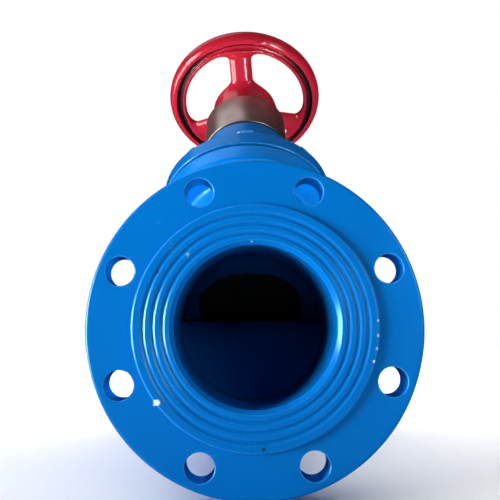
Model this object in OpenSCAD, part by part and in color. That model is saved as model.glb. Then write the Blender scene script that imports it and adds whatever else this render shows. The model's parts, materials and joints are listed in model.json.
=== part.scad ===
// Balancing valve, DN100: Y-pattern globe body with flanged ends, bolted bonnet,
// metal indicator sleeve and a three-spoke handwheel that raises the plug.
// Millimetres. The origin is the centre of the inlet raised face, +Y runs along
// the bore to the outlet and +Z is up. The stem leans towards the outlet.

/* [Flanges] */
// Outer diameter of both pipe flanges
flange_d = 208; // [204:1:220]
// Thickness of a pipe flange behind its raised face
flange_t = 23; // [18:0.5:28]
// Height of the raised face
raised_h = 3; // [2:0.5:4]
// Distance from the bolt circle to the rim of a pipe flange
pipe_rim = 14; // [13:0.5:16]
// Gap between the raised face and the bolt holes
raised_gap = 5.75; // [4:0.25:7]
// Bolts in each pipe flange
pipe_bolts = 8; // [4:4:8]
// Diameter of the pipe flange bolt holes
pipe_hole_d = 18; // [14:0.5:19]
// Rounding of the pipe flange rims
flange_edge = 2; // [1:0.5:3]
// Bevel at the mouth of the bore
bore_edge = 2.8; // [1:0.1:3]
// Distance between the two raised faces
face_to_face = 350; // [346:1:370]
// Distance from the edge of a raised face to its outermost sealing groove
groove_in = 6.45; // [6:0.05:8]
// Step from one sealing groove to the next
groove_step = 5.95; // [5:0.05:6]
// Width of a sealing groove
groove_w = 3; // [1:0.1:3.2]
// Depth of a sealing groove
groove_depth = 0.8; // [0.4:0.1:1.2]
// Sealing grooves in each raised face
groove_count = 3; // [1:1:3]

/* [Body] */
// Diameter of the bore at the flanges
bore_d = 100; // [94:1:102]
// Wall of the casting
wall = 10; // [9:0.5:11]
// How much the bore widens around the seat
belly = 7; // [4:0.5:8]
// Distance from the inlet face to where the stem axis crosses the bore axis
cross_y = 153; // [149:1:155]
// Angle between the stem and the bore
stem_angle = 52.5; // [52:0.5:54]
// Diameter of the plug chamber
chamber_d = 100; // [99:0.5:101]
// Wall of the branch that carries the bonnet
branch_wall = 7.5; // [7:0.25:8]
// Thickness of the web that holds the seat
web_t = 11; // [9:0.5:13]
// Height of the weir in front of the seat, above the bore axis
weir_z = 4.5; // [-4:0.5:6]
// Distance from the inlet face to the start of the weir
weir_start = 52; // [44:1:60]
// Distance from the inlet face to the crest of the weir
weir_crest = 138; // [130:1:142]

/* [Bonnet] */
// Distance from the bonnet bolt circle to the rim of the bonnet flanges
cover_rim = 12.5; // [12:0.5:14]
// Gap between the bonnet flange and the outlet pipe under it
bonnet_gap = 2.5; // [2:0.5:6]
// Thickness of the body's bonnet flange
cover_body_t = 21; // [20.5:0.5:23]
// Thickness of the bonnet gasket
gasket_t = 2; // [1:0.25:3]
// Thickness of the bonnet flange
cover_t = 16.5; // [15:0.5:18]
// Rounding of the bonnet flange rims
cover_edge = 3; // [1:0.5:3.5]
// Distance from the outside of the branch to the bonnet bolt circle
bolt_out = 10.5; // [10:0.5:12]
// Diameter of a bonnet bolt
cover_bolt_d = 10; // [9:0.5:11]
// Depth of the tapped holes in the body's bonnet flange
tapped_depth = 13; // [11:0.5:14]
// Diameter of the bonnet collar below the sleeve
collar_d = 85; // [84:0.25:86]
// Diameter of the bonnet neck where it leaves the flange
neck_d = 110; // [100:1:114]
// Height of the bonnet from its flange to the top of the collar
collar_rise = 66; // [61:1:70]
// Height of the straight collar at the top of the bonnet
collar_h = 22; // [16:1:28]
// Height of the hollow under the bonnet
bonnet_hollow_h = 44; // [36:1:52]
// Radius of the hollow above its mouth
hollow_r = 32; // [28:1:36]
// Height of the straight mouth of the hollow
mouth_h = 6; // [4:1:8]
// Height of each of the two cones in the hollow
hollow_cone_h = 12; // [8:1:14]

/* [Seat and plug] */
// Distance from the crossing to the top of the seat ring
seat_u = 30; // [27:0.5:32]
// Inner diameter of the seat ring
seat_d = 87; // [86:0.5:88]
// Outer diameter of the seat ring
seat_od = 96; // [95:0.5:98]
// Height of the seat ring
seat_h = 7; // [5:0.5:8]
// Diameter of the plug
plug_d = 92; // [90:0.5:94]
// Thickness of the rubber facing under the plug
facing_t = 6; // [4:0.5:8]
// Diameter of the plug nose that stands in the seat
nose_d = 76; // [70:1:76]
// Depth of the plug nose
nose_h = 9; // [6:0.5:12]
// Thickness of the plug disc
disc_t = 16; // [12:0.5:20]
// Width of the slope on the top edge of the plug disc
plug_slope_w = 8; // [5:0.5:10]
// Height of the slope on the top edge of the plug disc
plug_slope_h = 6; // [4:0.5:8]
// Wall of the plug boss around the stem
plug_boss_wall = 8; // [6:0.5:10]
// Height of the plug boss
plug_boss_h = 16; // [12:1:20]
// Lift of the plug from closed to open
lift = 25; // [20:0.5:30]

/* [Stem] */
// Diameter of the stem
stem_d = 18; // [16:0.5:20]
// Depth of the stem in the plug
stem_grip = 8; // [6:0.5:10]
// Distance from the top of the stem to the middle plane of the rim
stem_short = 54; // [50:1:58]
// Outer diameter of the stem nut
nut_d = 30; // [28:0.5:32]
// Diameter of the thrust flange on the stem nut
thrust_d = 50; // [46:1:54]
// Thickness of the thrust flange on the stem nut
thrust_t = 7; // [5:0.5:9]
// Height of the stem packing
packing_h = 14; // [10:0.5:18]
// Outer diameter of the stem packing
packing_d = 32; // [29:0.5:36]
// Height of the gland follower above the packing
gland_h = 14; // [10:0.5:16]
// Depth of the gland follower below the top of the collar
gland_depth = 3; // [2:0.5:5]

/* [Sleeve] */
// Outer diameter of the indicator sleeve
sleeve_d = 86.5; // [86:0.25:88]
// Wall of the sleeve
sleeve_wall = 2; // [1.5:0.25:2.5]
// Height of the sleeve
sleeve_h = 44.5; // [43:0.5:48]
// Height of the seal under the sleeve
sleeve_seal_h = 1.5; // [1:0.25:2.5]
// Height of the bonnet spigot inside the sleeve
spigot_h = 6; // [5:0.5:9]
// Radial gap between the bonnet spigot and the sleeve
spigot_gap = 2; // [1.5:0.1:2.5]
// Depth of the cover plate below the top of the sleeve
plate_depth = 12; // [11:0.5:14]
// Thickness of the cover plate in the sleeve
plate_t = 4; // [3:0.5:5]
// Width of the reading window
window_w = 26; // [18:1:30]
// Height of the reading window
window_h = 10; // [8:0.5:12]
// Distance from the bottom of the sleeve to the middle of the window
window_u = 17; // [15:0.5:19]
// How far the clear window laps behind the sleeve on each side
window_lap = 3; // [2:0.5:4]
// Wall of the clear window and of the number drum
lens_t = 2; // [1:0.25:2.5]
// Gap between the sleeve and the number drum
drum_gap = 4; // [3.5:0.25:6]

/* [Handwheel] */
// Outer diameter of the handwheel
wheel_d = 171; // [166:1:180]
// Distance from the top of the sleeve to the middle plane of the rim
wheel_rise = 54.8; // [51:0.1:60]
// Width of the rim bead
bead_w = 13.5; // [12:0.5:15]
// Depth of the rim bead along the stem
bead_h = 18; // [16:0.5:20]
// Width of the thin inner lip of the rim
lip_w = 5; // [4:0.5:6]
// Thickness of the inner lip
lip_t = 5; // [4:0.5:6]
// Distance from the middle plane of the rim down to the middle of the lip
lip_drop = 6.2; // [5:0.1:7]
// Number of spokes
spokes = 3; // [3:1:4]
// Width of a spoke
spoke_w = 24; // [22:1:28]
// Thickness of a spoke at the hub
spoke_t = 8; // [7:0.5:10]
// How far the spokes fall from the lip to the hub
spoke_dish = 12.3; // [9:0.1:14]
// Turn of the first spoke from the top
spoke_turn = -5; // [-10:1:10]
// Radius of the fillets between the spokes and the rim
rim_fillet = 10.5; // [8:0.5:12]
// Radius of the fillets between the spokes and the hub
hub_fillet = 6; // [4:0.5:8]
// Diameter of the hub skirt
hub_d = 69; // [66:1:72]
// Diameter of the top of the hub
hub_top_d = 46; // [42:1:50]
// How far the hub skirt reaches into the sleeve
skirt_in = 4; // [2:0.5:4]
// Height of the hollow in the hub skirt
skirt_h = 20; // [16:1:24]
// Wall of the hub skirt
skirt_wall = 7; // [5:0.5:9]
// Height of the hub above the spokes
hub_rise = 6; // [4:0.5:8]
// Step on the radius where the wheel sits on the stem nut
nut_step = 4; // [3:0.5:5]
// Depth of that step below the top of the hub
nut_step_depth = 6; // [5:0.5:8]
// Thickness of the wheel washer
washer_t = 3; // [2:0.5:4]
// Radius of the wheel washer
washer_r = 19; // [18:0.5:21]
// How far the stem nut stands out of the wheel nut
thread_out = 3; // [2:0.5:5]
// Height of the wheel nut
wheel_nut_h = 13; // [10:0.5:16]
// Width across the flats of the wheel nut
wheel_nut_af = 30; // [28:1:32]

/* [Test points] */
// Distance from each raised face to its test point
test_y = 60; // [54:1:70]
// Diameter of the test point bosses
boss_d = 30; // [28:1:34]
// Distance from the bore axis to the face of a boss
boss_x = 68; // [66:1:72]
// Width across the flats of a test point
test_af = 17; // [14:1:19]
// Height of the hexagon of a test point
test_hex_h = 8; // [6:0.5:9]
// Height of the round cap on a test point
test_cap_h = 20; // [16:0.5:22]
// Diameter of the cap on a test point
test_cap_d = 16; // [14:0.5:18]
// Wall of the cap on a test point
test_cap_wall = 3; // [2:0.5:4]
// Height of the threaded neck of a test point
test_neck_h = 4; // [3:0.5:5]

/* [Clearances] */
// Clearance between pieces that are bolted or pressed together
fit = 0.1; // [0.1:0.05:0.2]
// Clearance around the turning stem nut and the sliding stem
running = 0.3; // [0.25:0.05:0.5]
// Clearance of a bolt in its hole, on the diameter
bolt_play = 1.5; // [1:0.25:2]

/* [Hidden] */

$fn = 96;
eps = 0.01;
over = 1;
arc_n = 6;

flange_r = flange_d / 2;
pipe_pcd = flange_d - 2 * pipe_rim;
raised_r = (pipe_pcd - pipe_hole_d) / 2 - raised_gap;
groove_r = raised_r - groove_in;
bore_r = bore_d / 2;
mid_y = face_to_face / 2;
back_y = raised_h + flange_t;
pipe_r = bore_r + wall;
root_fillet = 12;
belly_start = back_y + root_fillet;
spot_d = pipe_hole_d + 6;
spot_depth = 1;

cover_bolts = 8;
cover_thread_gap = 1;
chamber_r = chamber_d / 2;
branch_r = chamber_r + branch_wall;
branch_root = 1;
hex_af = cover_bolt_d * 1.6;
cover_pcd = 2 * (branch_r + bolt_out);
cover_r = cover_pcd / 2 + cover_rim;
bonnet_u = (pipe_r + bonnet_gap + cover_r * cos(stem_angle)) / sin(stem_angle);
cover_top_body = bonnet_u - gasket_t;
cover_u = cover_top_body - cover_body_t;
bonnet_top = bonnet_u + cover_t;
collar_u = bonnet_top + collar_rise;
bolt_r = cover_bolt_d / 2;
bolt_hole_r = (cover_bolt_d + bolt_play) / 2;
head_h = cover_bolt_d * 0.64;
cover_washer_t = 2;
cover_washer_r = cover_bolt_d;

stem_r = stem_d / 2;
seat_r = seat_d / 2;
throat_gap = 5;
throat_r = nose_d / 2 + throat_gap;
throat_depth = 28;
plug_r = plug_d / 2;
facing_u = seat_u + running;
disc_u = facing_u + facing_t + fit;
disc_top = disc_u + disc_t;
disc_edge = 1;
nose_round = 6;
plug_boss_r = stem_r + plug_boss_wall;
stem_bottom = disc_top - stem_grip;

sleeve_r = sleeve_d / 2;
sleeve_in_r = sleeve_r - sleeve_wall;
spigot_r = sleeve_in_r - spigot_gap;
sleeve_u = collar_u + sleeve_seal_h + 2 * fit;
sleeve_top = sleeve_u + sleeve_h;
plate_u = sleeve_top - plate_depth;
wheel_u = sleeve_top + wheel_rise;
stem_top = wheel_u - stem_short;
spigot_top = sleeve_u + spigot_h;
packing_r = packing_d / 2;
gland_top = collar_u - gland_depth;
packing_u = gland_top - gland_h - packing_h;
hollow_top_r = stem_r + 6;
bush_r = thrust_d / 2;
nut_r = nut_d / 2;
thrust_u = plate_u - fit - running - thrust_t;
drum_r = sleeve_in_r - drum_gap;
drum_clear = 2;

wheel_r = wheel_d / 2;
bead_r = wheel_r - bead_w / 2;
bead_in_r = wheel_r - bead_w;
lip_r = bead_in_r - lip_w;
lip_in = 3;
hub_r = hub_d / 2;
hub_top_r = hub_top_d / 2;
hub_bottom = sleeve_top - skirt_in;
spoke_out_u = wheel_u - lip_drop;
spoke_in_u = spoke_out_u - spoke_dish;
hub_top = spoke_in_u + spoke_t / 2 + hub_rise;
nut_end_r = nut_r - nut_step;
nut_step_u = hub_top - nut_step_depth;
wheel_nut_u = hub_top + washer_t + 2 * fit;
nut_end_u = wheel_nut_u + wheel_nut_h + thread_out;
nut_deep = 7;

// Points on an arc, from angle a0 to angle a1.
function arc(x, y, r, a0, a1) =
    [for (i = [0:arc_n]) let(a = a0 + (a1 - a0) * i / arc_n) [x + r * cos(a), y + r * sin(a)]];

// Smooth step from 0 to 1 as t goes from 0 to 1.
function ease(t) = (1 - cos(180 * t)) / 2;

// Turns a shape that stands on +Z so that it runs along +Y.
module along_bore() rotate([-90, 0, 0]) children();

// Places a shape that stands on +Z on the stem axis, measured from the crossing.
module on_stem(u = 0)
    translate([0, cross_y, 0]) rotate([stem_angle - 90, 0, 0]) translate([0, 0, u]) children();

// A tube on the stem axis between two heights.
module stem_tube(r_out, r_in, u0, u1) on_stem(u0) difference() {
    cylinder(h = u1 - u0, r = r_out);
    translate([0, 0, -over]) cylinder(h = u1 - u0 + 2 * over, r = r_in);
}

// One half of the outside of the casting, from a raised face to the middle.
module half_outside() rotate_extrude() polygon(concat(
    [[0, 0], [raised_r, 0], [raised_r, raised_h], [flange_r - flange_edge, raised_h]],
    arc(flange_r - flange_edge, raised_h + flange_edge, flange_edge, -90, 0),
    arc(flange_r - flange_edge, back_y - flange_edge, flange_edge, 0, 90),
    arc(pipe_r + root_fillet, back_y + root_fillet, root_fillet, 270, 180),
    [for (i = [1:8]) [pipe_r + belly * ease(i / 8), belly_start + (mid_y - belly_start) * i / 8]],
    [[0, mid_y]]));

// One half of the bore, wider by g.
module half_bore(g) rotate_extrude() polygon(concat(
    [[0, -over], [bore_r + g + bore_edge + over, -over]],
    [[bore_r + g, bore_edge], [bore_r + g, belly_start]],
    [for (i = [1:8]) [bore_r + g + belly * ease(i / 8), belly_start + (mid_y - belly_start) * i / 8]],
    [[0, mid_y]]));

// Puts a half shape at both ends of the valve.
module both_ends() {
    along_bore() children();
    translate([0, face_to_face, 0]) mirror([0, 1, 0]) along_bore() children();
}

// Sealing grooves, bolt holes and spot faces of one pipe flange.
module flange_cuts() {
    for (i = [0:groove_count - 1]) rotate_extrude()
        translate([groove_r - i * groove_step - groove_w / 2, -over])
            square([groove_w, groove_depth + over]);
    for (i = [0:pipe_bolts - 1]) rotate([0, 0, 360 * (i + 0.5) / pipe_bolts])
        translate([pipe_pcd / 2, 0, 0]) {
            translate([0, 0, -over]) cylinder(h = back_y + 2 * over, d = pipe_hole_d);
            translate([0, 0, back_y - spot_depth]) cylinder(h = spot_depth + over, d = spot_d);
        }
}

// The branch that rises along the stem, with its bonnet flange.
module branch() on_stem() rotate_extrude() polygon(concat(
    [[0, 0], [branch_r, 0]],
    [[branch_r, cover_u - branch_root], [branch_r + branch_root, cover_u]],
    arc(cover_r - cover_edge, cover_u + cover_edge, cover_edge, -90, 0),
    [[cover_r, cover_top_body], [0, cover_top_body]]));

// Places a child at each bonnet bolt, or at bolt number i only.
module at_cover_bolt(i) on_stem() rotate([0, 0, 360 * i / cover_bolts])
    translate([cover_pcd / 2, 0, 0]) children();

// The web across the body and the weir in front of it, which hold the seat.
module web() {
    slab_top = seat_u - 1;
    weir_n = 10;
    under = (slab_top - web_t / 2) / cos(stem_angle);
    difference() {
        intersection() {
            both_ends() half_bore(over);
            union() {
                on_stem(slab_top - web_t) cylinder(h = web_t, r = pipe_r + belly + wall);
                rotate([90, 0, 90]) linear_extrude(height = 2 * pipe_r + 2 * belly, center = true)
                    polygon(concat(
                        [for (i = [0:weir_n]) [weir_start + (weir_crest - weir_start) * i / weir_n,
                            -pipe_r + (weir_z + pipe_r) * ease(i / weir_n)]],
                        [for (z = [weir_z, -pipe_r]) [cross_y + under - z * tan(stem_angle), z]]));
            }
        }
        on_stem(seat_u - throat_depth) cylinder(h = throat_depth, r = throat_r);
        seat_recess();
    }
}

module seat_recess() on_stem(seat_u - seat_h) cylinder(h = seat_h + over, r = seat_od / 2 + fit);

module test_boss(y) translate([0, y, 0]) rotate([0, 90, 0]) cylinder(h = boss_x, d = boss_d);

module valve_body() color("dodgerblue") {
    difference() {
        union() {
            both_ends() half_outside();
            branch();
            test_boss(test_y);
            test_boss(face_to_face - test_y);
        }
        both_ends() half_bore(0);
        both_ends() flange_cuts();
        seat_recess();
        on_stem(seat_u - 1) cylinder(h = cover_top_body - seat_u + 1 + over, r = chamber_r);
        for (i = [0:cover_bolts - 1]) at_cover_bolt(i) translate([0, 0, cover_top_body - tapped_depth])
            cylinder(h = tapped_depth + over, r = bolt_r + fit);
    }
    web();
}

module seat_ring() color("gainsboro")
    stem_tube(seat_od / 2, seat_r, seat_u - seat_h + fit, seat_u);

module bonnet() color("dodgerblue") difference() {
    on_stem() rotate_extrude() polygon(concat(
        [[0, bonnet_u], [cover_r, bonnet_u]],
        arc(cover_r - cover_edge, bonnet_top - cover_edge, cover_edge, 0, 90),
        [[neck_d / 2, bonnet_top]],
        [for (i = [1:8]) [neck_d / 2 + (collar_d / 2 - neck_d / 2) * sin(90 * i / 8),
            bonnet_top + (collar_u - bonnet_top - collar_h) * (1 - cos(90 * i / 8))]],
        [[collar_d / 2, collar_u], [spigot_r, collar_u], [spigot_r, spigot_top], [0, spigot_top]]));
    on_stem() rotate_extrude() polygon([[0, bonnet_u - over], [chamber_r, bonnet_u - over],
        [chamber_r, bonnet_u + mouth_h], [hollow_r, bonnet_u + mouth_h + hollow_cone_h],
        [hollow_r, bonnet_u + bonnet_hollow_h - hollow_cone_h],
        [hollow_top_r, bonnet_u + bonnet_hollow_h], [0, bonnet_u + bonnet_hollow_h]]);
    on_stem(bonnet_u) cylinder(h = spigot_top, r = stem_r + running);
    on_stem(packing_u) cylinder(h = spigot_top, r = packing_r + fit);
    for (i = [0:cover_bolts - 1]) at_cover_bolt(i) translate([0, 0, bonnet_u - over])
        cylinder(h = cover_t + 2 * over, r = bolt_hole_r);
}

module bonnet_gasket() color("dimgray") difference() {
    stem_tube(cover_r - cover_edge - 1, chamber_r, cover_top_body + fit, bonnet_u - fit);
    for (i = [0:cover_bolts - 1]) at_cover_bolt(i) translate([0, 0, cover_top_body - over])
        cylinder(h = gasket_t + 2 * over, r = bolt_hole_r);
}

// Hexagon bolt that screws into the body's bonnet flange.
module bonnet_bolt(i) color("dodgerblue") at_cover_bolt(i) {
    head_u = bonnet_top + fit;
    end_u = cover_top_body - tapped_depth + cover_thread_gap;
    translate([0, 0, head_u]) cylinder(h = cover_washer_t, r = cover_washer_r);
    translate([0, 0, head_u + cover_washer_t - eps]) rotate([0, 0, 30])
        cylinder(h = head_h, d = hex_af / cos(30), $fn = 6);
    translate([0, 0, end_u]) cylinder(h = head_u - end_u + eps, r = bolt_r);
}

module plug() color("dimgray") difference() {
    on_stem() rotate_extrude() polygon([[0, disc_u], [plug_r - disc_edge, disc_u],
        [plug_r, disc_u + disc_edge], [plug_r, disc_top - plug_slope_h],
        [plug_r - plug_slope_w, disc_top], [plug_boss_r, disc_top],
        [plug_boss_r, disc_top + plug_boss_h], [0, disc_top + plug_boss_h]]);
    on_stem(stem_bottom) cylinder(h = stem_grip + plug_boss_h + over, r = stem_r + fit);
}

module plug_facing() color("black") on_stem() rotate_extrude() polygon(concat(
    [[0, facing_u - nose_h]],
    arc(nose_d / 2 - nose_round, facing_u - nose_h + nose_round, nose_round, -90, 0),
    [[nose_d / 2, facing_u], [plug_r, facing_u], [plug_r, facing_u + facing_t],
        [0, facing_u + facing_t]]));

module stem() color("silver") on_stem(stem_bottom + fit)
    cylinder(h = stem_top - stem_bottom, r = stem_r);

module stem_packing() color("dimgray")
    stem_tube(packing_r, stem_r + running, packing_u + fit, packing_u + packing_h);

module gland_follower() color("goldenrod")
    stem_tube(packing_r, stem_r + running, packing_u + packing_h + fit, gland_top);

module thrust_bush() color("goldenrod")
    stem_tube(bush_r, nut_r + running, spigot_top + fit, thrust_u - running);

module stem_nut() color("goldenrod") difference() {
    union() {
        on_stem(spigot_top + running)
            cylinder(h = nut_step_u - fit - spigot_top - running, r = nut_r);
        on_stem(thrust_u) cylinder(h = thrust_t, r = bush_r);
        on_stem(thrust_u) cylinder(h = nut_end_u - thrust_u, r = nut_end_r);
    }
    on_stem(spigot_top - over)
        cylinder(h = stem_top + lift + nut_deep - spigot_top, r = stem_r + running);
}

module sleeve_seal() color("black")
    stem_tube(collar_d / 2 - fit, spigot_r + fit, collar_u + fit, collar_u + fit + sleeve_seal_h);

module window_cut(w, h) on_stem(sleeve_u + window_u) translate([0, sleeve_r - sleeve_wall, 0])
    cube([w, 4 * sleeve_wall, h], center = true);

module indicator_sleeve() color("rosybrown") difference() {
    stem_tube(sleeve_r, sleeve_in_r, sleeve_u, sleeve_top);
    window_cut(window_w, window_h);
}

module sleeve_cover() color("silver")
    stem_tube(sleeve_in_r - fit, nut_r + running, plate_u, plate_u + plate_t);

module indicator_drum() color("white")
    stem_tube(drum_r, drum_r - lens_t, spigot_top + fit, thrust_u - drum_clear);

module indicator_window() color("lightcyan") intersection() {
    stem_tube(sleeve_in_r - fit, sleeve_in_r - fit - lens_t, sleeve_u, sleeve_top);
    on_stem(sleeve_u + window_u) translate([0, sleeve_in_r, 0])
        cube([window_w + 2 * window_lap, sleeve_r / 2, window_h + 2 * window_lap], center = true);
}

// Outline of one gap between two spokes: the gap is centred on +X.
function turned(p, a) = [p[0] * cos(a) - p[1] * sin(a), p[0] * sin(a) + p[1] * cos(a)];
function corner_arc(r, fillet, from_spoke, side, a0, a1) = let(c = spoke_w / 2 + fillet)
    [for (q = arc(sqrt(r * r - c * c), c * side, fillet, a0, a1)) turned(q, from_spoke)];

module spoke_gap() {
    half = 180 / spokes;
    outer = lip_r - rim_fillet;
    inner = hub_r + hub_fillet;
    ao = asin((spoke_w / 2 + rim_fillet) / outer);
    ai = asin((spoke_w / 2 + hub_fillet) / inner);
    span = half - ao;
    in_span = half - ai;
    polygon(concat(
        corner_arc(inner, hub_fillet, -half, 1, 180 + ai, 270),
        corner_arc(outer, rim_fillet, -half, 1, -90, ao),
        [for (i = [1:9]) let(a = -span + 2 * span * i / 10) [lip_r * cos(a), lip_r * sin(a)]],
        corner_arc(outer, rim_fillet, half, -1, -ao, 90),
        corner_arc(inner, hub_fillet, half, -1, 90, 180 - ai),
        [for (i = [1:7]) let(a = in_span - 2 * in_span * i / 8) [hub_r * cos(a), hub_r * sin(a)]]));
}

// The dished plate of the spokes and the lip, before its gaps are cut.
module dished_plate() on_stem() rotate_extrude() polygon([[0, spoke_in_u - spoke_t / 2],
    [hub_r, spoke_in_u - spoke_t / 2], [lip_r - lip_in, spoke_out_u - lip_t / 2],
    [bead_r, spoke_out_u - lip_t / 2], [bead_r, spoke_out_u + lip_t / 2],
    [lip_r - lip_in, spoke_out_u + lip_t / 2], [hub_r, spoke_in_u + spoke_t / 2],
    [0, spoke_in_u + spoke_t / 2]]);

module handwheel() color("crimson") difference() {
    union() {
        on_stem(wheel_u) rotate_extrude() translate([bead_r, 0]) polygon(concat(
            [for (i = [0:23]) let(a = 15 * i) [bead_w / 2 * cos(a), bead_h / 2 * sin(a)]]));
        difference() {
            dished_plate();
            on_stem(spoke_in_u - spoke_t) rotate([0, 0, spoke_turn - 90])
                for (i = [0:spokes - 1]) rotate(180 / spokes + 360 * i / spokes)
                    linear_extrude(height = spoke_dish + 2 * spoke_t) spoke_gap();
        }
        on_stem() rotate_extrude() polygon([[0, hub_bottom], [hub_r, hub_bottom], [hub_r, spoke_in_u],
            [hub_top_r, hub_top], [0, hub_top]]);
    }
    on_stem(hub_bottom - over) cylinder(h = nut_step_u - hub_bottom + over, r = nut_r + fit);
    on_stem(hub_bottom - over)
        cylinder(h = skirt_h, r1 = hub_r - skirt_wall, r2 = nut_r + skirt_wall);
    on_stem(hub_bottom) cylinder(h = hub_top - hub_bottom + over, r = nut_end_r + fit);
}

module wheel_washer() color("silver")
    stem_tube(washer_r, nut_end_r + fit, hub_top + fit, hub_top + fit + washer_t);

module wheel_nut() color("silver") on_stem(wheel_nut_u) difference() {
    cylinder(h = wheel_nut_h, d = wheel_nut_af / cos(30), $fn = 6);
    translate([0, 0, -over]) cylinder(h = wheel_nut_h + 2 * over, r = nut_end_r + fit);
}

module test_point(y) color("goldenrod") translate([boss_x + fit, y, 0]) rotate([0, 90, 0]) {
    cylinder(h = test_hex_h, d = test_af / cos(30), $fn = 6);
    cylinder(h = test_hex_h + test_neck_h, d = test_cap_d - 2 * test_cap_wall);
}

module test_cap(y) translate([boss_x + test_hex_h + 2 * fit, y, 0]) rotate([0, 90, 0]) difference() {
    cylinder(h = test_cap_h, d = test_cap_d);
    translate([0, 0, -over])
        cylinder(h = test_neck_h + 1 + over, d = test_cap_d - 2 * test_cap_wall + 2 * fit);
}

module inlet_test_point() test_point(test_y);
module inlet_test_cap() color("red") test_cap(test_y);
module outlet_test_point() test_point(face_to_face - test_y);
module outlet_test_cap() color("blue") test_cap(face_to_face - test_y);

valve_body();
seat_ring();
bonnet();
bonnet_gasket();
for (i = [1:cover_bolts]) bonnet_bolt(i - 1);
plug();
plug_facing();
stem();
stem_packing();
gland_follower();
thrust_bush();
stem_nut();
sleeve_seal();
indicator_sleeve();
sleeve_cover();
indicator_drum();
indicator_window();
handwheel();
wheel_washer();
wheel_nut();
inlet_test_point();
inlet_test_cap();
outlet_test_point();
outlet_test_cap();
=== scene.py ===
"""DN100 balancing valve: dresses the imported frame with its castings, fasteners and finishes."""
import json
import math

import bmesh
import bpy
import numpy as np
from mathutils import Euler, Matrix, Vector


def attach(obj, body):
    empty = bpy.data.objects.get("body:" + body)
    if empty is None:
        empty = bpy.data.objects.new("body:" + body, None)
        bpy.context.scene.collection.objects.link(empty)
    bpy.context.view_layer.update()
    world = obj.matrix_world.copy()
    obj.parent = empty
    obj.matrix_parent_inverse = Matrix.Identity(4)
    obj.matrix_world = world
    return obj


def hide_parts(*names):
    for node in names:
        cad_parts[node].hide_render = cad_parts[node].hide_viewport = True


bl_info = {
    "name": "Balancing valve",
    "version": (1, 0, 0),
    "blender": (4, 5, 0),
    "location": "3D View > Sidebar > Valve",
    "description": "Builds a flanged balancing valve with a bolted bonnet and a handwheel",
    "category": "Object",
}

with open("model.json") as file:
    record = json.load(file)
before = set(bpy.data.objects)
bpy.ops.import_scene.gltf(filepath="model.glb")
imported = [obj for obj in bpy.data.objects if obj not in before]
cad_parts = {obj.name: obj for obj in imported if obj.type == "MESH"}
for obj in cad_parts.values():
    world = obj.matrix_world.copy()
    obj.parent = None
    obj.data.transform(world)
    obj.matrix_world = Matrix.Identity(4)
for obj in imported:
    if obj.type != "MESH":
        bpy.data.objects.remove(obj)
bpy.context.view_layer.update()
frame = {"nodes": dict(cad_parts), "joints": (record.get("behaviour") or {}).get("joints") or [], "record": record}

TURN = next(j for j in frame["joints"] if j["type"] == "hinge")
CROSSING = np.array(TURN["pos_m"], float) * 1000
STEM = np.array(TURN["axis"], float)
STEM /= np.linalg.norm(STEM)
ACROSS = np.array([1.0, 0.0, 0.0])
DOWNHILL = np.cross(STEM, ACROSS)
BODY, WHEEL, PLUG = "valve", "wheel", "plug_stem"


# ---------------------------------------------------------------- sizes and colours

def linear(code, alpha=1.0):
    """An sRGB hex colour as linear red, green, blue and alpha."""
    parts = [int(code[i:i + 2], 16) / 255 for i in (1, 3, 5)]
    return tuple(c / 12.92 if c <= 0.04045 else ((c + 0.055) / 1.055) ** 2.4 for c in parts) + (alpha,)


def length(name, text, millimetres):
    return bpy.props.FloatProperty(name=name, description=text, default=millimetres / 1000,
                                   min=0.0, precision=4, subtype="DISTANCE", unit="LENGTH")


def colour(name, text, code):
    return bpy.props.FloatVectorProperty(name=name, description=text, default=linear(code)[:3],
                                         size=3, min=0.0, max=1.0, subtype="COLOR")


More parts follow.
